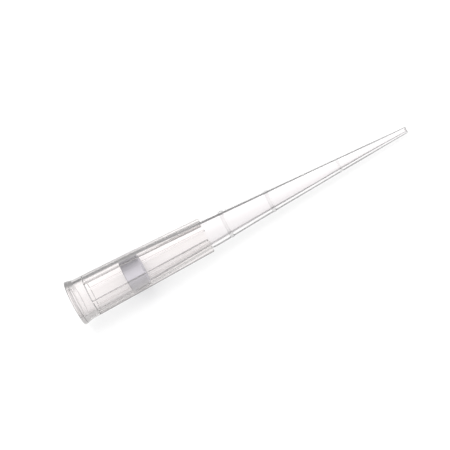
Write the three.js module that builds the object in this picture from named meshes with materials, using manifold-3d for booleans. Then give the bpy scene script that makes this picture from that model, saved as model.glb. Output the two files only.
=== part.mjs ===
// Filter pipette tip, 200 microlitre size, lying on its side as it comes to rest.
// One clear injection-moulded polypropylene body with a porous plug pressed into its bore.
// Millimetres, +Z up. The tip's axis runs along +X from the mouth to the fine end and slopes
// down by a few degrees, because the wide rim and the ends of two fins carry it on the surface.
import * as THREE from 'three';
import * as BufferGeometryUtils from 'three/addons/utils/BufferGeometryUtils.js';
import Module from 'manifold-3d';

// ---------- driving dimensions (mm) ----------
const LENGTH = 59.0;              // face of the mouth to the fine end
const SEGMENTS = 48;              // sides of every turned surface, a multiple of the fin count
const FLANGE_RADIUS = 3.77;       // rim of the mouth
const LIP_ROUND = 0.2;            // rounding of the rim
const COLLAR_RADIUS = 3.47;       // plain collar under the rim
const COLLAR_END = 3.02;          // shoulder where the collar steps down to the cone
const FUNNEL_RADIUS = 3.4;        // inner edge of the mouth face
const FUNNEL_DEPTH = 1.05;        // lead-in funnel that guides the pipette's nose
const BORE_RADIUS = 2.76;         // bore at the foot of the funnel
const FIN_COUNT = 6;
const FIN_THICKNESS = 0.24;
const FIN_START = 2.9;            // fins run out of the collar shoulder
const FIN_END = 23.5;
const FIN_END_ROUND = 0.26;
const FIN_RADIUS_TOP = 3.475;     // outer radius of the fins at the collar
const FIN_RADIUS_FOOT = 2.96;     // and at their lower ends
const PLUG_START = 9.24;          // porous plug, measured from the mouth face
const PLUG_LENGTH = 3.06;
const PLUG_GAP = 0.02;            // clearance left between the plug and the bore
const PLUG_CHAMFER = 0.12;
// graduation rings: centre along the axis, half width, height
const RINGS = [
  [27.07, 0.32, 0.09],
  [34.81, 0.32, 0.085],
  [47.06, 0.26, 0.035],
];

// outer cone: distance from the mouth face, radius
const CONE = [
  [COLLAR_END, 3.16], [6.0, 3.09], [9.4, 3.0], [13.3, 2.87], [16.0, 2.75], [19.5, 2.58],
  [23.5, 2.40], [24.5, 2.395], [27.07, 2.245], [31.7, 1.95], [34.81, 1.78], [39.2, 1.535],
  [44.2, 1.265], [47.06, 1.12], [51.7, 0.89], [54.2, 0.75], [56.8, 0.61], [58.3, 0.54], [LENGTH, 0.5],
];
// bore: distance from the mouth face, radius
const BORE = [
  [FUNNEL_DEPTH, BORE_RADIUS], [4.2, 2.71], [9.2, 2.60], [12.4, 2.48], [16.0, 2.31], [19.5, 2.12],
  [24.5, 1.88], [31.7, 1.47], [39.2, 1.11], [47.06, 0.71], [54.2, 0.38], [LENGTH, 0.25],
];

const at = (table, x) => {
  for (let i = 1; i < table.length; i++) {
    const [x0, y0] = table[i - 1], [x1, y1] = table[i];
    if (x <= x1) return y0 + (y1 - y0) * (x - x0) / (x1 - x0);
  }
  return table[table.length - 1][1];
};

// ---------- turned surfaces ----------
// A profile of [distance, radius] pairs, closed on itself, turned about the Y axis.
// The flats of the polygon, not its corners, face straight down.
const turned = (profile) => {
  const points = profile.map(([y, r]) => new THREE.Vector2(r, y));
  points.push(points[0].clone());
  const half = Math.PI / SEGMENTS;
  return new THREE.LatheGeometry(points, SEGMENTS, half, Math.PI * 2);
};

const lip = [];
for (let i = 0; i <= 3; i++) {
  const a = (i / 3) * Math.PI / 2;
  lip.push([LIP_ROUND * (1 - Math.cos(a)), FLANGE_RADIUS - LIP_ROUND * (1 - Math.sin(a))]);
}
const outer = [
  ...lip,
  [0.58, 3.70], [0.9, 3.61], [1.21, 3.53], [1.6, 3.485], [2.2, COLLAR_RADIUS],
  [COLLAR_END - 0.08, COLLAR_RADIUS - 0.01], [COLLAR_END, COLLAR_RADIUS - 0.09],
];
const stations = CONE.map(([y]) => y).filter((y) => !RINGS.some(([c, w]) => Math.abs(y - c) < w + 0.05));
const rings = RINGS.flatMap(([c, w, h]) => [[c - w, 0], [c - w * 0.45, h], [c + w * 0.45, h], [c + w, 0]]);
const cone = [
  ...stations.map((y) => [y, at(CONE, y)]),
  ...rings.map(([y, h]) => [y, at(CONE, y) + h]),
].sort((a, b) => a[0] - b[0]);
cone[cone.length - 1][0] = LENGTH - 0.06;
cone.push([LENGTH, at(CONE, LENGTH) - 0.06]);
const inner = [
  ...BORE.slice().reverse(),
  [0.55, 3.04], [0, FUNNEL_RADIUS],
];

const solid = (wasm, geometry) => {
  const g = geometry.index ? geometry.clone() : BufferGeometryUtils.mergeVertices(geometry.clone());
  g.deleteAttribute('normal');
  g.deleteAttribute('uv');
  const m = BufferGeometryUtils.mergeVertices(g, 1e-5);
  return new wasm.Manifold(new wasm.Mesh({
    numProp: 3,
    vertProperties: new Float32Array(m.attributes.position.array),
    triVerts: new Uint32Array(m.index.array),
  }));
};
const geometryOf = (manifold) => {
  const mesh = manifold.getMesh();
  const g = new THREE.BufferGeometry();
  const n = mesh.vertProperties.length / mesh.numProp;
  const position = new Float32Array(n * 3);
  for (let i = 0; i < n; i++) {
    for (let k = 0; k < 3; k++) position[3 * i + k] = mesh.vertProperties[i * mesh.numProp + k];
  }
  g.setAttribute('position', new THREE.BufferAttribute(position, 3));
  g.setIndex(Array.from(mesh.triVerts));
  return g;
};

// ---------- fins ----------
// Each fin is a thin plate in a plane through the axis: its foot is buried in the wall,
// its outer edge tapers with the tip and its lower corner is rounded.
const finOutline = () => {
  const s = new THREE.Shape();
  const foot = (y) => at(CONE, Math.max(y, COLLAR_END)) - 0.16;
  const edge = (y) => FIN_RADIUS_TOP + (FIN_RADIUS_FOOT - FIN_RADIUS_TOP) * (y - FIN_START) / (FIN_END - FIN_START);
  s.moveTo(foot(FIN_START), FIN_START);
  s.lineTo(edge(FIN_START), FIN_START);
  s.lineTo(edge(FIN_END - FIN_END_ROUND), FIN_END - FIN_END_ROUND);
  for (let i = 1; i <= 3; i++) {
    const a = (i / 3) * Math.PI / 2;
    s.lineTo(edge(FIN_END) - FIN_END_ROUND * (1 - Math.cos(a)), FIN_END - FIN_END_ROUND * (1 - Math.sin(a)));
  }
  s.lineTo(foot(FIN_END), FIN_END);
  for (const y of [19.5, 16.0, 13.3, 9.4, 6.0]) s.lineTo(foot(y), y);
  s.closePath();
  return s;
};
const finPlate = (angle) => {
  const g = new THREE.ExtrudeGeometry(finOutline(), { depth: FIN_THICKNESS, bevelEnabled: false });
  g.translate(0, 0, -FIN_THICKNESS / 2);
  g.rotateY(angle);
  return g;
};

const wasm = await Module();
wasm.setup();

let body = solid(wasm, turned([...outer, ...cone, ...inner]));
if (body.volume() < 0) throw new Error('profile runs the wrong way round');
for (let i = 0; i < FIN_COUNT; i++) {
  // two fins stand 30 degrees either side of straight down
  const angle = (i + 0.5) * (Math.PI * 2) / FIN_COUNT;
  body = body.add(solid(wasm, finPlate(angle)));
}
const bodyGeometry = geometryOf(body);

const plugEnd = PLUG_START + PLUG_LENGTH;
const plugGeometry = geometryOf(solid(wasm, turned([
  [PLUG_START, at(BORE, PLUG_START) - PLUG_GAP - PLUG_CHAMFER],
  [PLUG_START + PLUG_CHAMFER, at(BORE, PLUG_START + PLUG_CHAMFER) - PLUG_GAP],
  [plugEnd - PLUG_CHAMFER, at(BORE, plugEnd - PLUG_CHAMFER) - PLUG_GAP],
  [plugEnd, at(BORE, plugEnd) - PLUG_GAP - PLUG_CHAMFER],
  [plugEnd, 0],
  [PLUG_START, 0],
])));

// ---------- laying the tip down ----------
// Turned geometry has its axis along +Y. Laid down, +Y points along +X, and the tip's own
// "down" is local +X before the turn. The slope is that of the line under the rim and the
// lowest point further along.
const lay = new THREE.Matrix4().makeBasis(
  new THREE.Vector3(0, 0, -1),  // local X -> down
  new THREE.Vector3(1, 0, 0),   // local Y -> along
  new THREE.Vector3(0, -1, 0),  // local Z -> across
);
bodyGeometry.applyMatrix4(lay);
plugGeometry.applyMatrix4(lay);

const p = bodyGeometry.attributes.position;
let rimX = 0, rimZ = 0;
for (let i = 0; i < p.count; i++) {
  if (p.getX(i) < 2 && p.getZ(i) < rimZ - 1e-6) { rimZ = p.getZ(i); rimX = p.getX(i); }
}
let slope = Infinity;
for (let i = 0; i < p.count; i++) {
  if (p.getX(i) > 5) slope = Math.min(slope, Math.atan2(p.getZ(i) - rimZ, p.getX(i) - rimX));
}

const bodyMaterial = new THREE.MeshStandardMaterial({
  color: 0xeef0ec, roughness: 0.12, metalness: 0, transparent: true, opacity: 0.35,
});
const plugMaterial = new THREE.MeshStandardMaterial({ color: 0xb4b2ba, roughness: 0.9, metalness: 0 });

const tipBody = new THREE.Mesh(bodyGeometry, bodyMaterial);
tipBody.name = 'tip_body';
const filterPlug = new THREE.Mesh(plugGeometry, plugMaterial);
filterPlug.name = 'filter_plug';

const tilted = new THREE.Group();
tilted.add(tipBody, filterPlug);
tilted.rotation.y = slope;

// origin at the bottom centre of the bounding box
const tip = new THREE.Group();
tip.add(tilted);
tip.updateMatrixWorld(true);
const box = new THREE.Box3().setFromObject(tipBody, true);
const centre = box.getCenter(new THREE.Vector3());
tip.position.set(-centre.x, -centre.y, -box.min.z);
tip.updateMatrixWorld(true);

export default tip;
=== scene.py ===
"""A filtered pipette tip: a ribbed, clear polypropylene cone with a porous plug in its bore."""
import math

import bmesh
import bpy
import numpy as np
from mathutils import Matrix, Vector, noise


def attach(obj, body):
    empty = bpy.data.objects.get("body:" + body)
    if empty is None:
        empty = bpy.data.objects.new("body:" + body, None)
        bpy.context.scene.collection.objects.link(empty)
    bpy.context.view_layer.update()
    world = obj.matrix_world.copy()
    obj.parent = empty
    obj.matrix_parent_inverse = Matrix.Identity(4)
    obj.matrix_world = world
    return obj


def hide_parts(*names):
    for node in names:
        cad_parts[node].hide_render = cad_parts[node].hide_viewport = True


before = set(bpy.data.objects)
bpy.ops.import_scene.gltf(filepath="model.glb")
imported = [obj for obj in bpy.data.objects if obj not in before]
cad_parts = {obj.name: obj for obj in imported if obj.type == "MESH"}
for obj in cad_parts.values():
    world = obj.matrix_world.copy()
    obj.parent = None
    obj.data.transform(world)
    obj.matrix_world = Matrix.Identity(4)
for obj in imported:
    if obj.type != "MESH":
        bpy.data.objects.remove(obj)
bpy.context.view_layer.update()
MM = 0.001

# ---------------------------------------------------------------- dimensions, mm
LENGTH = 59.0
FLANGE_RADIUS = 3.7617  # the round rim lies inside the faceted one
LIP_ROUND = 0.2
COLLAR_RADIUS = 3.47
COLLAR_END = 3.02
FLARE = [(LIP_ROUND, FLANGE_RADIUS), (0.58, 3.70), (0.9, 3.61), (1.21, 3.53), (1.6, 3.485), (2.2, COLLAR_RADIUS), (COLLAR_END - 0.1, COLLAR_RADIUS - 0.01)]
CONE = [(3.02, 3.16), (6.0, 3.09), (9.4, 3.0), (13.3, 2.87), (16.0, 2.75), (19.5, 2.58), (23.5, 2.40), (24.5, 2.395), (27.07, 2.245), (31.7, 1.95), (34.81, 1.78), (39.2, 1.535), (44.2, 1.265), (47.06, 1.12), (51.7, 0.89), (54.2, 0.75), (56.8, 0.61), (58.3, 0.54), (59.0, 0.5)]
BORE = [(1.05, 2.76), (4.2, 2.71), (9.2, 2.60), (12.4, 2.48), (16.0, 2.31), (19.5, 2.12), (24.5, 1.88), (31.7, 1.47), (39.2, 1.11), (47.06, 0.71), (54.2, 0.38), (59.0, 0.25)]
FUNNEL = [(0.0, 3.40), (0.55, 3.04), (1.05, 2.76)]
RINGS = [(27.07, 0.32, 0.09), (34.81, 0.32, 0.085), (47.06, 0.26, 0.035)]
END_ROUND = 0.1
FIN_COUNT = 6
FIN_THICKNESS = 0.24
FIN_FILLET = 0.05
FIN_START = 2.95
FIN_END = 23.5
FIN_END_ROUND = 0.26
FIN_RADIUS_TOP = 3.47
FIN_RADIUS_FOOT = 2.955
ARC_STEPS = 18  # steps round the cone between two fins
PLUG_START = 9.24
PLUG_END = 12.30
PLUG_GAP = 0.02
PLUG_CHAMFER = 0.12

# the way it lies: rim and two fin ends on the floor, the axis falling towards the small end
SLOPE = 0.04912987
MOUTH = np.array((-29.3877, 0.0, 3.76721))
AXIS = np.array((math.cos(SLOPE), 0.0, -math.sin(SLOPE)))
UP = np.array((math.sin(SLOPE), 0.0, math.cos(SLOPE)))
SIDE = np.array((0.0, 1.0, 0.0))


def smooth(table):
    """Monotone cubic through (u, radius) pairs."""
    xs = np.array([a for a, _ in table], float)
    ys = np.array([b for _, b in table], float)
    h = np.diff(xs)
    dl = np.diff(ys) / h
    m = np.zeros(len(xs))
    m[0], m[-1] = dl[0], dl[-1]
    for i in range(1, len(xs) - 1):
        if dl[i - 1] * dl[i] > 0:
            w1, w2 = 2 * h[i] + h[i - 1], h[i] + 2 * h[i - 1]
            m[i] = (w1 + w2) / (w1 / dl[i - 1] + w2 / dl[i])

    def f(x):
        i = int(np.clip(np.searchsorted(xs, x) - 1, 0, len(h) - 1))
        t = (x - xs[i]) / h[i]
        return float((2 * t**3 - 3 * t**2 + 1) * ys[i] + (t**3 - 2 * t**2 + t) * h[i] * m[i] + (-2 * t**3 + 3 * t**2) * ys[i + 1] + (t**3 - t**2) * h[i] * m[i + 1])

    return f


cone_radius, bore_radius, funnel_radius = smooth(CONE), smooth(BORE), smooth(FUNNEL)


def ring_height(u):
    return sum(h * max(0.0, math.cos(math.pi * 0.5 * min(1.0, abs(u - c) / w))) ** 1.5 for c, w, h in RINGS)


def outer_radius(u):
    """The body's outside without its fins."""
    if u < LIP_ROUND:
        return FLANGE_RADIUS - LIP_ROUND * (1 - math.sqrt(max(0.0, 1 - ((LIP_ROUND - u) / LIP_ROUND) ** 2)))
    if u <= COLLAR_END - 0.1:
        return float(np.interp(u, [a for a, _ in FLARE], [b for _, b in FLARE]))
    if u <= COLLAR_END + 0.06:
        s = (u - (COLLAR_END - 0.1)) / 0.16
        k = (1 - math.cos(math.pi * s)) / 2
        return (COLLAR_RADIUS - 0.01) * (1 - k) + cone_radius(COLLAR_END + 0.06) * k
    r = cone_radius(u) + ring_height(u)
    if u > LENGTH - END_ROUND:
        r -= END_ROUND * (1 - math.sqrt(max(0.0, 1 - ((u - (LENGTH - END_ROUND)) / END_ROUND) ** 2)))
    return r


def fin_height(u):
    """How far a fin stands out of the body."""
    if u < FIN_START - 0.02 or u > FIN_END - 1e-6:
        return 0.0
    edge = FIN_RADIUS_TOP + (FIN_RADIUS_FOOT - FIN_RADIUS_TOP) * (u - FIN_START) / (FIN_END - FIN_START)
    if u > FIN_END - FIN_END_ROUND:
        edge -= FIN_END_ROUND * (1 - math.sqrt(max(0.0, 1 - ((u - (FIN_END - FIN_END_ROUND)) / FIN_END_ROUND) ** 2)))
    return max(0.0, edge - outer_radius(u))


def stations():
    s = list(LIP_ROUND * (1 - np.cos(np.linspace(0, math.pi / 2, 9))))
    s += list(np.arange(0.3, 2.9, 0.1))
    s += list(np.linspace(2.9, 3.1, 11))
    s += list(np.arange(3.2, FIN_END - FIN_END_ROUND - 0.05, 0.4))
    s += list(FIN_END - FIN_END_ROUND + FIN_END_ROUND * np.sin(np.linspace(0, math.pi / 2, 9)))
    s += [FIN_END + 0.004]
    s += list(np.arange(FIN_END + 0.15, LENGTH - 0.15, 0.3))
    for c, w, _ in RINGS:
        s += list(np.linspace(c - w, c + w, 15))
    s += list(LENGTH - END_ROUND + END_ROUND * np.sin(np.linspace(0, math.pi / 2, 7)))
    out = []
    for x in sorted(set(round(float(x), 5) for x in s)):
        if not out or x - out[-1] > 0.003:
            out.append(x)
    return out


HALF = FIN_THICKNESS / 2
FIN_SECTION = [(-HALF - FIN_FILLET, 0.0), (-HALF - FIN_FILLET * 0.35, 0.02), (-HALF, 0.12), (-HALF, 0.3), (-HALF, 0.45), (-HALF, 0.6), (-HALF, 0.8), (-HALF + 0.008, 0.93), (-HALF + 0.035, 0.985), (-HALF + 0.07, 1.0), (0.0, 1.0)]
FIN_SECTION += [(-y, g) for y, g in reversed(FIN_SECTION[:-1])]
CONTOUR = []  # ("fin", angle, across, share of height) or ("arc", from, to, share)
for k in range(FIN_COUNT):
    at = (k + 0.5) * 2 * math.pi / FIN_COUNT
    CONTOUR += [("fin", at, y, g) for y, g in FIN_SECTION]
    CONTOUR += [("arc", at, at + 2 * math.pi / FIN_COUNT, j / ARC_STEPS) for j in range(1, ARC_STEPS)]


def arc_angle(c, radius):
    skip = math.asin((HALF + FIN_FILLET) / radius)
    return c[1] + skip + (c[2] - c[1] - 2 * skip) * c[3]


def outer_ring(u):
    r, h = outer_radius(u), fin_height(u)
    pts = []
    for c in CONTOUR:
        if c[0] == "fin":
            _, at, y, g = c
            x = math.sqrt(r * r - y * y) + h * g
            pts.append((u, x * math.cos(at) - y * math.sin(at), x * math.sin(at) + y * math.cos(at)))
        else:
            ang = arc_angle(c, r)
            pts.append((u, r * math.cos(ang), r * math.sin(ang)))
    return pts


def inner_ring(u, r):
    pts = []
    for c in CONTOUR:
        ang = c[1] + math.asin(c[2] / 3.0) if c[0] == "fin" else arc_angle(c, 3.0)
        pts.append((u, r * math.cos(ang), r * math.sin(ang)))
    return pts


def place(points):
    """From (along, up, side) about the mouth to the row frame, in metres."""
    p = np.array(points, float)
    return (MOUTH + p[:, 0:1] * AXIS + p[:, 1:2] * UP + p[:, 2:3] * SIDE) * MM


def add_object(name, points, faces, angle=35.0):
    me = bpy.data.meshes.new(name)
    me.from_pydata([tuple(p) for p in place(points)], [], faces)
    bm = bmesh.new()
    bm.from_mesh(me)
    bmesh.ops.recalc_face_normals(bm, faces=bm.faces)
    bm.to_mesh(me)
    bm.free()
    ob = bpy.data.objects.new(name, me)
    bpy.context.scene.collection.objects.link(ob)
    sharp = math.radians(angle)
    me.shade_smooth()
    me.set_sharp_from_angle(angle=sharp)
    return ob


# ---------------------------------------------------------------- the moulding
rings = [outer_ring(u) for u in stations()]
n_outer = len(rings)
heights = [fin_height(u) for u in stations()]
inside = [59.0] + list(np.arange(58.6, 1.4, -0.5)) + [1.3, 1.15, 1.05] + list(np.arange(0.95, 0.05, -0.1)) + [0.0]
for u in inside:
    rings.append(inner_ring(u, bore_radius(u) if u > 1.04 else funnel_radius(u)))
M, K = len(CONTOUR), len(rings)
points = [p for r in rings for p in r]
faces, region = [], []
REGIONS = ["cone", "bore", "hub", "collar", "flange", "flange_edge", "rings", "fin_ends", "shoulder", "funnel_foot", "funnel", "funnel_lip", "small_end", "upper_fins", "lower_fins", "side_fins", "side_fin_edges", "side_fin_roots"]
along = stations()
FIN_EDGE = 0.2  # how far in the edge of a side fin reaches, mm
FIN_ROOT = 0.13
SMALL_END = 0.32  # how far back the ground edge of the small end reaches, mm
for i in range(K):
    j = (i + 1) % K
    for k in range(M):
        l = (k + 1) % M
        faces.append((i * M + k, i * M + l, j * M + l, j * M + k))
        if i + 1 >= n_outer:
            u = (inside[i - n_outer] + inside[min(i + 1 - n_outer, len(inside) - 1)]) / 2 if i >= n_outer else LENGTH
            region.append("flange" if i == K - 1 else "funnel_lip" if u < 0.3 else "funnel" if u < 0.9 else "funnel_foot" if u < 1.16 else "small_end" if u > LENGTH - SMALL_END else "bore")
            continue
        u, height = (along[i] + along[i + 1]) / 2, max(heights[i], heights[i + 1])
        if CONTOUR[k][0] == CONTOUR[l][0] == "fin" and height > 0.0:
            up, share = math.cos(CONTOUR[k][1]), (CONTOUR[k][3] + CONTOUR[l][3]) / 2
            if abs(up) > 0.1:
                region.append("upper_fins" if up > 0 else "lower_fins")
            elif share * height < FIN_ROOT and math.sin(CONTOUR[k][1]) > 0:
                region.append("side_fin_roots")
            else:
                region.append("side_fin_edges" if (1 - share) * height < FIN_EDGE else "side_fins")
        elif ring_height(u) > 0.004:
            region.append("rings")
        elif FIN_END - 0.002 < u < FIN_END + 0.16:
            region.append("fin_ends")
        elif COLLAR_END - 0.1 < u < COLLAR_END + 0.07:
            region.append("shoulder")
        else:
            region.append("flange_edge" if 0.58 < u < 0.68 else "flange" if u < 1.3 else "collar" if u < COLLAR_END - 0.1 else "hub" if u < FIN_END else "small_end" if u > LENGTH - SMALL_END else "cone")
tip = add_object("clear_tip", points, faces)
print("tip triangles", 2 * len(faces))

# ---------------------------------------------------------------- the porous plug
PLUG_SIDES = 144


def plug_mesh():
    a, b = PLUG_START, PLUG_END
    prof = [(a, 0.35 * t) for t in (0.0, 1.0, 2.0, 3.0, 4.0, 5.0, 6.0)]
    ra, rb = bore_radius(a) - PLUG_GAP, bore_radius(b) - PLUG_GAP
    prof += [(a + PLUG_CHAMFER * (1 - math.cos(x)), ra - PLUG_CHAMFER * (1 - math.sin(x))) for x in np.linspace(0.0, math.pi / 2, 6)]
    prof += [(u, bore_radius(u) - PLUG_GAP) for u in np.linspace(a + 0.25, b - 0.25, 22)]
    prof += [(b - PLUG_CHAMFER * (1 - math.cos(x)), rb - PLUG_CHAMFER * (1 - math.sin(x))) for x in np.linspace(math.pi / 2, 0.0, 6)]
    prof += [(b, 0.33 * t) for t in (6.0, 5.0, 4.0, 3.0, 2.0, 1.0, 0.0)]
    pts, rows = [], []
    for u, r in prof:
        row = []
        for k in range(PLUG_SIDES if r > 0 else 1):
            t = 2 * math.pi * k / PLUG_SIDES
            y, z = r * math.cos(t), r * math.sin(t)
            # grains of the sintered bead: shallow pits, only ever inwards
            g = noise.fractal(Vector((u, y, z)) * 5.0, 0.9, 2.1, 3)
            dent = 0.012 * max(0.0, g)
            end = min(1.0, max(0.0, (u - a) / 0.1)) * min(1.0, max(0.0, (b - u) / 0.1))
            rr = r - dent * end
            uu = u + (dent * (1 - end) if u < (a + b) / 2 else -dent * (1 - end))
            row.append(len(pts))
            pts.append((uu, rr * math.cos(t), rr * math.sin(t)))
        rows.append(row)
    fs = []
    for p, q in zip(rows, rows[1:]):
        for k in range(PLUG_SIDES):
            l = (k + 1) % PLUG_SIDES
            if len(p) == 1:
                fs.append((p[0], q[l], q[k]))
            elif len(q) == 1:
                fs.append((p[k], p[l], q[0]))
            else:
                fs.append((p[k], p[l], q[l], q[k]))
    return pts, fs


plug = add_object("porous_plug", *plug_mesh(), angle=50.0)


# ---------------------------------------------------------------- materials
def new_material(name):
    m = bpy.data.materials.new(name)
    m.use_nodes = True
    nt = m.node_tree
    return m, nt, nt.nodes["Principled BSDF"], nt.nodes["Material Output"]


def node(nt, kind, **values):
    n = nt.nodes.new(kind)
    for k, v in values.items():
        if k in n.inputs:
            n.inputs[k].default_value = v
        else:
            setattr(n, k, v)
    return n


def ramp(nt, source, stops):
    n = nt.nodes.new("ShaderNodeValToRGB")
    nt.links.new(source, n.inputs[0])
    e = n.color_ramp.elements
    while len(e) < len(stops):
        e.new(0.5)
    for i, (p, v) in enumerate(stops):
        e[i].position = p
        e[i].color = (v, v, v, 1) if not isinstance(v, tuple) else (*v, 1)
    return n.outputs[0]


def math_node(nt, op, a, b=None, clamp=False):
    n = nt.nodes.new("ShaderNodeMath")
    n.operation = op
    n.use_clamp = clamp
    for i, v in enumerate((a, b)):
        if v is None:
            continue
        if isinstance(v, (int, float)):
            n.inputs[i].default_value = v
        else:
            nt.links.new(v, n.inputs[i])
    return n.outputs[0]


def mix_colour(nt, fac, a, b):
    n = nt.nodes.new("ShaderNodeMix")
    n.data_type = "RGBA"
    for i, v in ((0, fac), (6, a), (7, b)):
        if isinstance(v, (int, float)):
            n.inputs[i].default_value = v
        elif isinstance(v, tuple):
            n.inputs[i].default_value = (*v, 1)
        else:
            nt.links.new(v, n.inputs[i])
    return n.outputs[2]


# Painted shade: how much a surface's colour is darkened, from face on (0) to edge on (1), in place of the dark edges a
# clear tube shows where its sides bend the light of dark surroundings towards the eye.
# Each is given for the side towards the light (painted lighter), the side away from it (painted darker),
# and where it changes along the tip, by zone.
NONE = [(0.0, 0.0), (1.0, 0.0)]
OUTSIDE_LIT = [(0.0, 0.0), (0.5, 0.0), (0.62, 0.12), (1.0, 0.15)]
OUTSIDE_LIT_END = [(0.0, 0.0), (0.36, 0.0), (0.44, 0.8), (0.58, 0.8), (0.68, 0.3), (1.0, 0.1)]
OUTSIDE_SHADE = [(0.0, 0.0), (0.52, 0.0), (0.6, 0.75), (0.9, 0.8), (1.0, 0.6)]
OUTSIDE_SHADE_END = [(0.0, 0.0), (0.33, 0.0), (0.43, 0.76), (0.72, 0.8), (0.9, 0.7), (1.0, 0.6)]
HUB_LIT = [(0.0, 0.0), (0.56, 0.0), (0.66, 0.6), (0.95, 0.6), (1.0, 0.4)]
HUB_SHADE = [(0.0, 0.0), (0.48, 0.0), (0.55, 0.45), (0.63, 0.45), (0.7, 0.05), (1.0, 0.0)]
FIN_LIT = [(0.0, 0.0), (0.2, 0.05), (0.36, 0.42), (0.66, 0.42), (1.0, 0.42)]
FIN_LIT_END = [(0.0, 0.0), (0.2, 0.05), (0.36, 0.53), (1.0, 0.53)]
FIN_SHADE = [(0.0, 0.0), (0.2, 0.05), (0.36, 0.58), (0.66, 0.58), (1.0, 0.58)]
FIN_SHADE_TOP = [(0.0, 0.0), (0.2, 0.05), (0.36, 0.28), (1.0, 0.28)]
LOW_FIN = [(0.0, 0.0), (0.3, 0.03), (0.5, 0.2), (1.0, 0.25)]
SIDE_FIN_LIT = [(0.0, 0.05), (0.3, 0.1), (1.0, 0.6)]
SIDE_FIN_LIT_TOP = [(0.0, 0.38), (0.3, 0.45), (1.0, 0.6)]
SIDE_FIN_SHADE = [(0.0, 0.0), (0.3, 0.04), (1.0, 0.5)]
FIN_EDGE_SHADE = [(0.0, 0.75), (0.3, 0.75), (1.0, 0.8)]
FIN_ROOT_LIT = [(0.0, 0.65), (1.0, 0.65)]
WALL_LIT_HUB = [(0.0, 0.0), (0.17, 0.0), (0.19, 0.05), (0.206, 0.11), (0.222, 0.22), (0.238, 0.36), (0.255, 0.6), (0.3, 0.64), (0.33, 0.53), (0.36, 0.4), (0.4, 0.32), (0.46, 0.12), (1.0, 0.0)]
WALL_LIT_COLLAR = [(0.0, 0.0), (0.17, 0.02), (0.194, 0.08), (0.208, 0.13), (0.223, 0.2), (0.239, 0.3), (0.256, 0.44), (0.27, 0.55), (0.29, 0.68), (0.33, 0.72), (0.355, 0.6), (0.4, 0.4), (0.46, 0.2), (1.0, 0.0)]
# the painted dark line along the lit side of the cone: where it falls (distance along the tip, facing)
WALL_LINE = [(23.0, 0.29), (25.3, 0.298), (31.7, 0.345), (36.0, 0.38), (40.8, 0.436), (44.2, 0.51), (47.0, 0.6), (52.0, 0.75)]
LINE_DEPTH = 0.69
RING_LIT = [(0.0, 0.13), (0.1, 0.14), (0.3, 0.15), (0.6, 0.28), (1.0, 0.35)]
RING_SHADE = [(0.0, 0.09), (0.04, 0.09), (0.08, 0.12), (0.2, 0.22), (0.5, 0.32), (1.0, 0.35)]
FIN_ENDS = [(0.0, 0.0), (0.3, 0.04), (0.6, 0.3), (1.0, 0.35)]
FLANGE = [(0.0, 0.03), (0.22, 0.05), (0.3, 0.15), (0.4, 0.27), (0.6, 0.32), (1.0, 0.28)]
FLANGE_LIT = [(0.0, 0.03), (0.22, 0.06), (0.3, 0.36), (0.4, 0.6), (0.6, 0.66), (1.0, 0.6)]
FLANGE_EDGE = [(0.0, 0.36), (0.06, 0.46), (0.22, 0.55), (0.4, 0.6), (1.0, 0.5)]
FUNNEL_LIP_NEAR = [(0.0, 0.0), (0.18, 0.04), (0.3, 0.12), (1.0, 0.2)]
FUNNEL_FOOT = [(0.0, 0.3), (0.3, 0.4), (1.0, 0.5)]
FUNNEL_FOOT_NEAR = [(0.0, 0.05), (0.1, 0.08), (0.2, 0.2), (1.0, 0.22)]
FUNNEL = [(0.0, 0.01), (0.3, 0.03), (0.5, 0.3), (1.0, 0.4)]
FUNNEL_NEAR = [(0.0, 0.01), (0.15, 0.03), (0.2, 0.08), (0.26, 0.25), (0.34, 0.38), (1.0, 0.4)]
SMALL_END_EDGE = [(0.0, 0.13), (0.3, 0.2), (0.6, 0.4), (1.0, 0.5)]
COLLAR_SHADE = [(0.0, 0.03), (0.19, 0.06), (0.226, 0.1), (0.266, 0.16), (0.31, 0.22), (0.36, 0.25), (0.42, 0.24), (0.49, 0.18), (0.575, 0.13), (0.69, 0.22), (1.0, 0.27)]
COLLAR_LIT = [(0.0, 0.04), (0.56, 0.05), (0.66, 0.42), (0.95, 0.46), (1.0, 0.4)]
WALL_SHADE_HUB = [(0.0, 0.0), (0.022, 0.0), (0.032, 0.07), (0.2, 0.08), (1.0, 0.08)]
WALL_SHADE_COLLAR = [(0.0, 0.0), (0.1, 0.04), (0.22, 0.12), (0.27, 0.46), (0.36, 0.44), (0.42, 0.3), (1.0, 0.25)]
WALL_SHADE_PLUG = [(0.0, 0.0), (0.02, 0.0), (0.028, 0.35), (0.2, 0.43), (1.0, 0.43)]
WALL_LIT_PLUG = [(0.0, 0.02), (0.02, 0.08), (0.05, 0.11), (0.08, 0.22), (0.17, 0.22), (0.19, 0.22), (0.206, 0.22), (0.222, 0.25), (0.238, 0.38), (0.255, 0.6), (0.3, 0.64), (0.33, 0.53), (0.36, 0.4), (0.4, 0.32), (0.46, 0.12), (1.0, 0.0)]
BORE_SHADE_HUB = [(0.0, 0.0), (0.07, 0.0), (0.1, 0.03), (0.25, 0.06), (0.34, 0.15), (0.4, 0.28), (0.5, 0.62), (0.6, 0.76), (0.68, 0.6), (0.8, 0.15), (1.0, 0.0)]
BORE_SHADE_TOP = [(0.0, 0.0), (0.07, 0.0), (0.1, 0.02), (0.25, 0.06), (0.3, 0.12), (0.39, 0.25), (0.47, 0.35), (0.56, 0.5), (0.65, 0.76), (0.73, 0.7), (0.82, 0.2), (1.0, 0.0)]
BORE_SHADE = [(0.0, 0.0), (0.05, 0.01), (0.2, 0.05), (0.33, 0.15), (0.41, 0.62), (0.54, 0.68), (0.62, 0.28), (0.74, 0.2), (1.0, 0.14)]
BORE_SHADE_MID = [(0.0, 0.0), (0.05, 0.01), (0.2, 0.05), (0.32, 0.15), (0.4, 0.76), (0.54, 0.84), (0.63, 0.32), (0.74, 0.22), (1.0, 0.14)]
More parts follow.
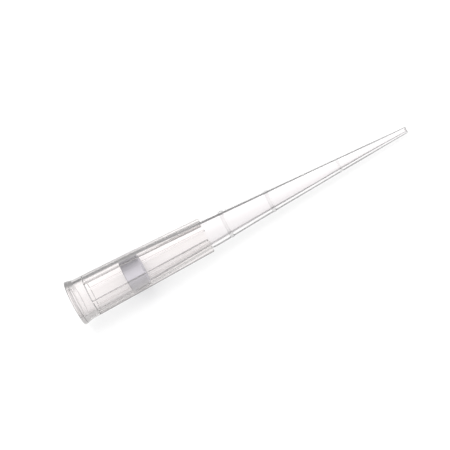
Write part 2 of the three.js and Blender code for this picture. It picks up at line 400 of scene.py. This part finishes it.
OUTSIDE_SHADE_MID = [(0.0, 0.0), (0.45, 0.0), (0.55, 0.72), (0.9, 0.8), (1.0, 0.6)]
BORE_SHADE_END = [(0.0, 0.0), (0.1, 0.02), (0.19, 0.2), (0.3, 0.78), (0.6, 0.8), (0.78, 0.2), (1.0, 0.05)]
# painted shade on faces that turn towards the tip's axis: rim, lead-in funnel, shoulder, rings and fin ends
STEP = [(0.0, 0.0), (0.12, 0.0), (0.28, 0.5), (0.5, 0.8), (1.0, 1.0)]
STEP_FACING = [(0.0, 0.1), (0.05, 0.25), (0.12, 0.6), (0.25, 1.0), (1.0, 1.0)]
STEP_DIM = 0.35
HUB_END = (22.0, 24.5)
TIP_END = (42.0, 52.0)
MIDDLE = (28.0, 36.0)
# near-black colour that the painted shade mixes into the plastic's colour
PAINTED_SHADE_COLOUR = (0.0, 0.0, 0.002)
DEEPEST = 0.88
TINT = (1.0, 0.983, 0.987)
HUB_TINT = (1.0, 0.968, 0.958)
SHADOW_TINT = (0.888, 0.888, 0.888)
SHADOW_EDGE_TINT = (0.86, 0.86, 0.86)
SHADOW_EDGE = [(0.0, 0.0), (0.3, 0.15), (0.6, 0.6), (1.0, 1.0)]
SKY_TINT = (0.986, 0.986, 0.986)
SKY_EDGE_TINT = (0.972, 0.972, 0.972)
LAMP_FLANK = (0.0, -0.781, 0.625)  # across the key lamp's direction
FLANK = [(0.0, 0.0), (0.07, 0.3), (0.2, 1.0), (0.36, 0.75), (0.5, 0.2), (0.7, 0.0), (1.0, 0.0)]
PAINTED_FLANK_SHADOW_TINT = (0.71, 0.71, 0.71)
ROUGH = 0.012
# the side whose surfaces take the lighter ramps of the painted shade; the other side takes the darker ones
PAINTED_LIGHT_SIDE = (0.0, 1.0, 0.0)


def clear_material(name, lit, shade, within=None, step_dim=STEP_DIM, tint=TINT, haze=None):
    """Clear polypropylene with painted shade in its colour. lit, shade: painted shade ramps for the side towards the
    light and the side away from it, or ramps with zones between them: [ramp, zone, ramp].
    within: the same two for a surface met from inside the plastic. haze: the range of painted shade over which it turns
    solid."""
    m, nt, b, out = new_material(name)
    coord = node(nt, "ShaderNodeTexCoord")
    stretch = node(nt, "ShaderNodeMapping")
    stretch.inputs["Scale"].default_value = (60.0, 900.0, 900.0)
    nt.links.new(coord.outputs["Object"], stretch.inputs["Vector"])
    flow = node(nt, "ShaderNodeTexNoise", Scale=1.0, Detail=3.0, Roughness=0.55)
    nt.links.new(stretch.outputs[0], flow.inputs["Vector"])
    facing = node(nt, "ShaderNodeLayerWeight", Blend=0.5).outputs["Facing"]
    geometry = node(nt, "ShaderNodeNewGeometry")
    inner = geometry.outputs["Backfacing"]
    outer = math_node(nt, "SUBTRACT", 1.0, inner)

    def dot(vector, with_):
        n = node(nt, "ShaderNodeVectorMath", operation="DOT_PRODUCT")
        nt.links.new(vector, n.inputs[0])
        n.inputs[1].default_value = tuple(with_)
        return n.outputs["Value"]

    def over(value, low, high):
        n = node(nt, "ShaderNodeMapRange", interpolation_type="SMOOTHSTEP")
        nt.links.new(value, n.inputs["Value"])
        n.inputs["From Min"].default_value = low
        n.inputs["From Max"].default_value = high
        return n.outputs["Result"]

    def blend(a, b_, t):
        return math_node(nt, "ADD", math_node(nt, "MULTIPLY", a, math_node(nt, "SUBTRACT", 1.0, t)), math_node(nt, "MULTIPLY", b_, t))

    # how far the normal that points out of the plastic, whichever way the surface is met, leans to the painted light
    # side
    outward = math_node(nt, "MULTIPLY", dot(geometry.outputs["True Normal"], PAINTED_LIGHT_SIDE), math_node(nt, "SUBTRACT", outer, inner))
    if within is not None:
        outward = math_node(nt, "MULTIPLY", outward, -1.0)  # a bore's wall faces away from its own side
    painted_lit_weight = over(outward, -0.35, 0.35)
    place_along = dot(coord.outputs["Object"], AXIS)
    start = float(MOUTH @ AXIS)

    def shape(table):
        if table is not WALL_LINE:
            return ramp(nt, facing, table)
        share = math_node(nt, "DIVIDE", math_node(nt, "SUBTRACT", place_along, start * MM), LENGTH * MM)
        centre = ramp(nt, share, [(u / LENGTH, v) for u, v in WALL_LINE])
        off = math_node(nt, "ABSOLUTE", math_node(nt, "SUBTRACT", facing, centre))
        off = math_node(nt, "DIVIDE", off, math_node(nt, "MULTIPLY", centre, 0.25))
        return math_node(nt, "MULTIPLY", math_node(nt, "MULTIPLY", math_node(nt, "SUBTRACT", 1.0, off), 3.0, clamp=True), LINE_DEPTH)

    def zoned(spec):
        if isinstance(spec[0], tuple):
            return shape(spec)
        value = shape(spec[0])
        for zone, table in zip(spec[1::2], spec[2::2]):
            value = blend(value, shape(table), over(place_along, (start + zone[0]) * MM, (start + zone[1]) * MM))
        return value

    # painted shade: the lit ramps on the side towards the painted light side, the darker ramps on the other
    dim = math_node(nt, "MULTIPLY", blend(zoned(shade), zoned(lit), painted_lit_weight), outer)
    if within is not None:
        wall = math_node(nt, "MULTIPLY", blend(zoned(within[1]), zoned(within[0]), painted_lit_weight), inner)
        dim = math_node(nt, "ADD", dim, wall)
    step = math_node(nt, "ABSOLUTE", dot(geometry.outputs["True Normal"], AXIS))
    step = math_node(nt, "MULTIPLY", math_node(nt, "MULTIPLY", ramp(nt, step, STEP), ramp(nt, facing, STEP_FACING)), step_dim)
    dim = math_node(nt, "MAXIMUM", dim, step)
    passes = math_node(nt, "SUBTRACT", 1.0, math_node(nt, "MULTIPLY", dim, DEEPEST), clamp=True)
    passes = math_node(nt, "POWER", passes, 2.0)  # glass is tinted by the square root of its colour at each surface
    # the painted shade mixes the plastic's tint towards near-black
    nt.links.new(mix_colour(nt, passes, PAINTED_SHADE_COLOUR, tint), b.inputs["Base Color"])
    b.inputs["Transmission Weight"].default_value = 1.0
    if within is not None:  # a colour doesn't dim light that is wholly reflected, so the wall takes it up
        # where the wall's painted shade is deep, the wall turns less clear
        clear = math_node(nt, "SUBTRACT", 1.0, over(wall, 0.25, 0.55), clamp=True)
        nt.links.new(clear, b.inputs["Transmission Weight"])
    elif haze is not None:  # thick rim met at a slant looks solid
        # the deeper the painted shade, the less clear: the rim turns solid
        clear = math_node(nt, "SUBTRACT", 1.0, over(dim, *haze), clamp=True)
        nt.links.new(clear, b.inputs["Transmission Weight"])
    rough = math_node(nt, "MULTIPLY_ADD", flow.outputs[0], 0.012)
    rough.node.inputs[2].default_value = ROUGH - 0.006
    nt.links.new(rough, b.inputs["Roughness"])
    b.inputs["IOR"].default_value = 1.49
    see = node(nt, "ShaderNodeBsdfTransparent")
    path = node(nt, "ShaderNodeLightPath")
    shut = ramp(nt, facing, SHADOW_EDGE)
    lamp_light = mix_colour(nt, shut, SHADOW_TINT, SHADOW_EDGE_TINT)
    # lamp light that goes through the flank away from the lamp falls beside the tip, the rest falls under it; a darker
    # tint on that flank paints a deeper shadow on the floor beside the tip, with no darker shadow under it
    flank = math_node(nt, "MULTIPLY", dot(geometry.outputs["True Normal"], LAMP_FLANK), math_node(nt, "SUBTRACT", outer, inner))
    if within is not None:
        flank = math_node(nt, "MULTIPLY", flank, -1.0)
    lamp_light = mix_colour(nt, ramp(nt, flank, FLANK), lamp_light, PAINTED_FLANK_SHADOW_TINT)
    sky_light = mix_colour(nt, shut, SKY_TINT, SKY_EDGE_TINT)
    nt.links.new(mix_colour(nt, path.outputs["Is Shadow Ray"], sky_light, lamp_light), see.inputs["Color"])
    through = math_node(nt, "MAXIMUM", path.outputs["Is Shadow Ray"], path.outputs["Is Diffuse Ray"])
    mix = node(nt, "ShaderNodeMixShader")
    nt.links.new(through, mix.inputs[0])
    nt.links.new(b.outputs[0], mix.inputs[1])
    nt.links.new(see.outputs[0], mix.inputs[2])
    nt.links.new(mix.outputs[0], out.inputs["Surface"])
    return m


MADE = {
    "cone": clear_material("clear_cone", [OUTSIDE_LIT, TIP_END, OUTSIDE_LIT_END], [OUTSIDE_SHADE, MIDDLE, OUTSIDE_SHADE_MID, TIP_END, OUTSIDE_SHADE_END]),
    "bore": clear_material("clear_bore", NONE, [BORE_SHADE_TOP, (8.0, 16.0), BORE_SHADE_HUB, HUB_END, BORE_SHADE, MIDDLE, BORE_SHADE_MID, TIP_END, BORE_SHADE_END], ([WALL_LIT_COLLAR, (2.9, 3.6), WALL_LIT_HUB, (9.1, 9.3), WALL_LIT_PLUG, (12.2, 12.4), WALL_LIT_HUB, HUB_END, WALL_LINE], [WALL_SHADE_COLLAR, (2.9, 3.6), WALL_SHADE_HUB, (9.1, 9.3), WALL_SHADE_PLUG, (12.2, 12.4), WALL_SHADE_HUB, HUB_END, NONE])),
    "hub": clear_material("clear_hub", HUB_LIT, HUB_SHADE, tint=HUB_TINT),
    "collar": clear_material("clear_collar", COLLAR_LIT, COLLAR_SHADE, tint=HUB_TINT, haze=(0.1, 0.3)),
    "flange": clear_material("clear_flange", FLANGE_LIT, FLANGE, step_dim=0.05, tint=HUB_TINT, haze=(0.1, 0.26)),
    "flange_edge": clear_material("clear_flange_edge", FLANGE_EDGE, FLANGE_EDGE, tint=HUB_TINT, haze=(0.1, 0.5)),
    "rings": clear_material("clear_rings", RING_LIT, RING_SHADE, step_dim=0.08),
    "fin_ends": clear_material("clear_fin_ends", FIN_ENDS, FIN_ENDS, step_dim=0.08),
    "shoulder": clear_material("clear_shoulder", HUB_LIT, HUB_SHADE, tint=HUB_TINT, haze=(0.15, 0.4)),
    "funnel_foot": clear_material("clear_funnel_foot", FUNNEL_FOOT, FUNNEL_FOOT, (FUNNEL_FOOT_NEAR, FUNNEL_FOOT_NEAR), step_dim=0.1),
    "funnel_lip": clear_material("clear_funnel_lip", FUNNEL, FUNNEL, (FUNNEL_LIP_NEAR, FUNNEL_LIP_NEAR), step_dim=0.02),
    "small_end": clear_material("clear_small_end", SMALL_END_EDGE, SMALL_END_EDGE, (SMALL_END_EDGE, SMALL_END_EDGE)),
    "funnel": clear_material("clear_funnel", FUNNEL, FUNNEL, (FUNNEL_NEAR, FUNNEL_NEAR), step_dim=0.03),
    "upper_fins": clear_material("clear_upper_fins", [FIN_LIT, (10.0, 17.0), FIN_LIT_END], [FIN_SHADE_TOP, (6.0, 14.0), FIN_SHADE], tint=HUB_TINT),
    "lower_fins": clear_material("clear_lower_fins", LOW_FIN, LOW_FIN, tint=HUB_TINT),
    "side_fins": clear_material("clear_side_fins", [SIDE_FIN_LIT_TOP, (7.0, 13.0), SIDE_FIN_LIT], SIDE_FIN_SHADE, tint=HUB_TINT),
    "side_fin_edges": clear_material("clear_side_fin_edges", [SIDE_FIN_LIT_TOP, (7.0, 13.0), SIDE_FIN_LIT], FIN_EDGE_SHADE, tint=HUB_TINT),
    "side_fin_roots": clear_material("clear_side_fin_roots", FIN_ROOT_LIT, SIDE_FIN_SHADE, tint=HUB_TINT),
}
for name in REGIONS:
    tip.data.materials.append(MADE[name])
for f, name in zip(tip.data.polygons, region):
    f.material_index = REGIONS.index(name)

PLUG_COLOUR = (0.3, 0.294, 0.319)
pm, pnt, pb, pout = new_material("porous_polyethylene")
coord = node(pnt, "ShaderNodeTexCoord")
grain = node(pnt, "ShaderNodeTexNoise", Scale=4200.0, Detail=4.0, Roughness=0.6)
cells = node(pnt, "ShaderNodeTexVoronoi", Scale=9000.0)
cloud = node(pnt, "ShaderNodeTexNoise", Scale=700.0, Detail=2.0)
for t in (grain, cells, cloud):
    pnt.links.new(coord.outputs["Object"], t.inputs["Vector"])
shade = math_node(pnt, "MULTIPLY_ADD", grain.outputs[0], 0.35)
shade.node.inputs[2].default_value = 0.0
tone = math_node(pnt, "ADD", shade, math_node(pnt, "MULTIPLY", cloud.outputs[0], 0.5), clamp=True)
pnt.links.new(mix_colour(pnt, tone, tuple(c * 0.85 for c in PLUG_COLOUR), tuple(c * 1.15 for c in PLUG_COLOUR)), pb.inputs["Base Color"])
pb.inputs["Roughness"].default_value = 0.9
pb.inputs["Specular IOR Level"].default_value = 0.25
bump = node(pnt, "ShaderNodeBump", Strength=0.35, Distance=0.00002)
pnt.links.new(math_node(pnt, "ADD", grain.outputs[0], cells.outputs[0]), bump.inputs["Height"])
pnt.links.new(bump.outputs[0], pb.inputs["Normal"])
# sintered polyethylene is translucent: it throws only a light shadow
glow = node(pnt, "ShaderNodeBsdfTransparent")
glow.inputs["Color"].default_value = (0.93, 0.93, 0.935, 1)
lamp_ray = node(pnt, "ShaderNodeLightPath")
lets_light = node(pnt, "ShaderNodeMixShader")
pnt.links.new(lamp_ray.outputs["Is Shadow Ray"], lets_light.inputs[0])
pnt.links.new(pb.outputs[0], lets_light.inputs[1])
pnt.links.new(glow.outputs[0], lets_light.inputs[2])
pnt.links.new(lets_light.outputs[0], pout.inputs["Surface"])
plug.data.materials.append(pm)

# ---------------------------------------------------------------- floor, light, camera
FLOOR = (0.92, 0.92, 0.92)
fm, fnt, fb, fout = new_material("pale_floor")
fb.inputs["Base Color"].default_value = (*FLOOR, 1)
fb.inputs["Roughness"].default_value = 1.0
fb.inputs["Specular IOR Level"].default_value = 0.0
floor_mesh = bpy.data.meshes.new("floor")
S = 3.0
floor_mesh.from_pydata([(-S, -S, 0), (S, -S, 0), (S, S, 0), (-S, S, 0)], [], [(0, 1, 2, 3)])
floor = bpy.data.objects.new("floor", floor_mesh)
bpy.context.scene.collection.objects.link(floor)
floor_mesh.materials.append(fm)

WORLD = 0.83
# (direction to the lamp, radiance it gives a white floor, angular size in degrees)
KEY = ((0.1, 0.8, 1.0), 0.43, 42.0)
PLUG_FILL = ((0.5, -0.6, 0.64), 1.46, 25.0)  # lights only the plug
for name, (direction, gain, size) in (("softbox", KEY), ("plug_fill", PLUG_FILL)):
    lamp = bpy.data.lights.new(name, "SUN")
    dv = Vector(direction).normalized()
    lamp.energy = gain * math.pi / dv.z
    lamp.angle = math.radians(size)
    holder = bpy.data.objects.new(name, lamp)
    bpy.context.scene.collection.objects.link(holder)
    holder.location = dv * 0.8
    holder.rotation_euler = dv.to_track_quat("Z", "Y").to_euler()
    holder.visible_glossy = holder.visible_transmission = False
    only = bpy.data.collections.new(name + "_lights")
    for ob in (plug,) if name == "plug_fill" else (tip, floor):
        only.objects.link(ob)
    holder.light_linking.receiver_collection = only
world = bpy.data.worlds.new("studio")
bpy.context.scene.world = world
world.use_nodes = True
background = world.node_tree.nodes["Background"]
background.inputs["Color"].default_value = (WORLD, WORLD, WORLD, 1)
background.inputs["Strength"].default_value = 1.0
world.cycles.sampling_method = "NONE"

TAU = math.radians(-3.9)  # how far the camera leans towards the mouth end
ROLL = math.radians(10.0)  # how far round the axis it stands
DISTANCE = 650.0
SHOT = ((74.52, 303.71), (406.7, 129.5))  # where the mouth's and the small end's centres fall
view = math.cos(TAU) * (math.cos(ROLL) * UP - math.sin(ROLL) * SIDE) - math.sin(TAU) * AXIS
across = AXIS - (AXIS @ view) * view
across /= np.linalg.norm(across)
below = np.cross(AXIS, view)
below /= np.linalg.norm(below)
scale, turn, target = 0.15642, math.radians(27.7), MOUTH + AXIS * LENGTH / 2
for _ in range(30):
    right = across * math.cos(turn) + below * math.sin(turn)
    top = across * math.sin(turn) - below * math.cos(turn)
    eye = target + DISTANCE * view

    def shot(p):
        q = p - eye
        dz = -(q @ view)
        return np.array([225 + (q @ right) / dz * DISTANCE / scale, 225 - (q @ top) / dz * DISTANCE / scale])

    p0, p1 = shot(MOUTH), shot(MOUTH + AXIS * LENGTH)
    v0, v1 = p1 - p0, np.subtract(SHOT[1], SHOT[0])
    scale *= np.linalg.norm(v0) / np.linalg.norm(v1)
    turn -= math.atan2(v1[1], v1[0]) - math.atan2(v0[1], v0[0])
    mid = (p0 + p1) / 2 - np.add(SHOT[0], SHOT[1]) / 2
    target = target + right * mid[0] * scale - top * mid[1] * scale
lens = bpy.data.cameras.new("camera")
lens.sensor_width = 36
lens.lens = 36 * DISTANCE / (450 * scale)
lens.clip_start, lens.clip_end = 0.01, 10
camera = bpy.data.objects.new("camera", lens)
bpy.context.scene.collection.objects.link(camera)
camera.matrix_world = Matrix([[right[i], top[i], view[i], eye[i] * MM] for i in range(3)] + [[0, 0, 0, 1]])
bpy.context.scene.camera = camera
print("camera", eye, "scale", scale, "turn", math.degrees(turn))

sc = bpy.context.scene
sc.view_settings.view_transform = "Standard"
sc.cycles.use_denoising = True
sc.cycles.max_bounces = 24
sc.cycles.transmission_bounces = 20
sc.cycles.glossy_bounces = 12
sc.cycles.transparent_max_bounces = 24
sc.cycles.blur_glossy = 0.0

# ---------------------------------------------------------------- attach the pieces to the body, hide the CAD parts
for piece, cad, slot in ((tip, "tip_body", "clear_polypropylene"), (plug, "filter_plug", "porous_plug")):
    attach(piece, "root")
    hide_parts(cad)
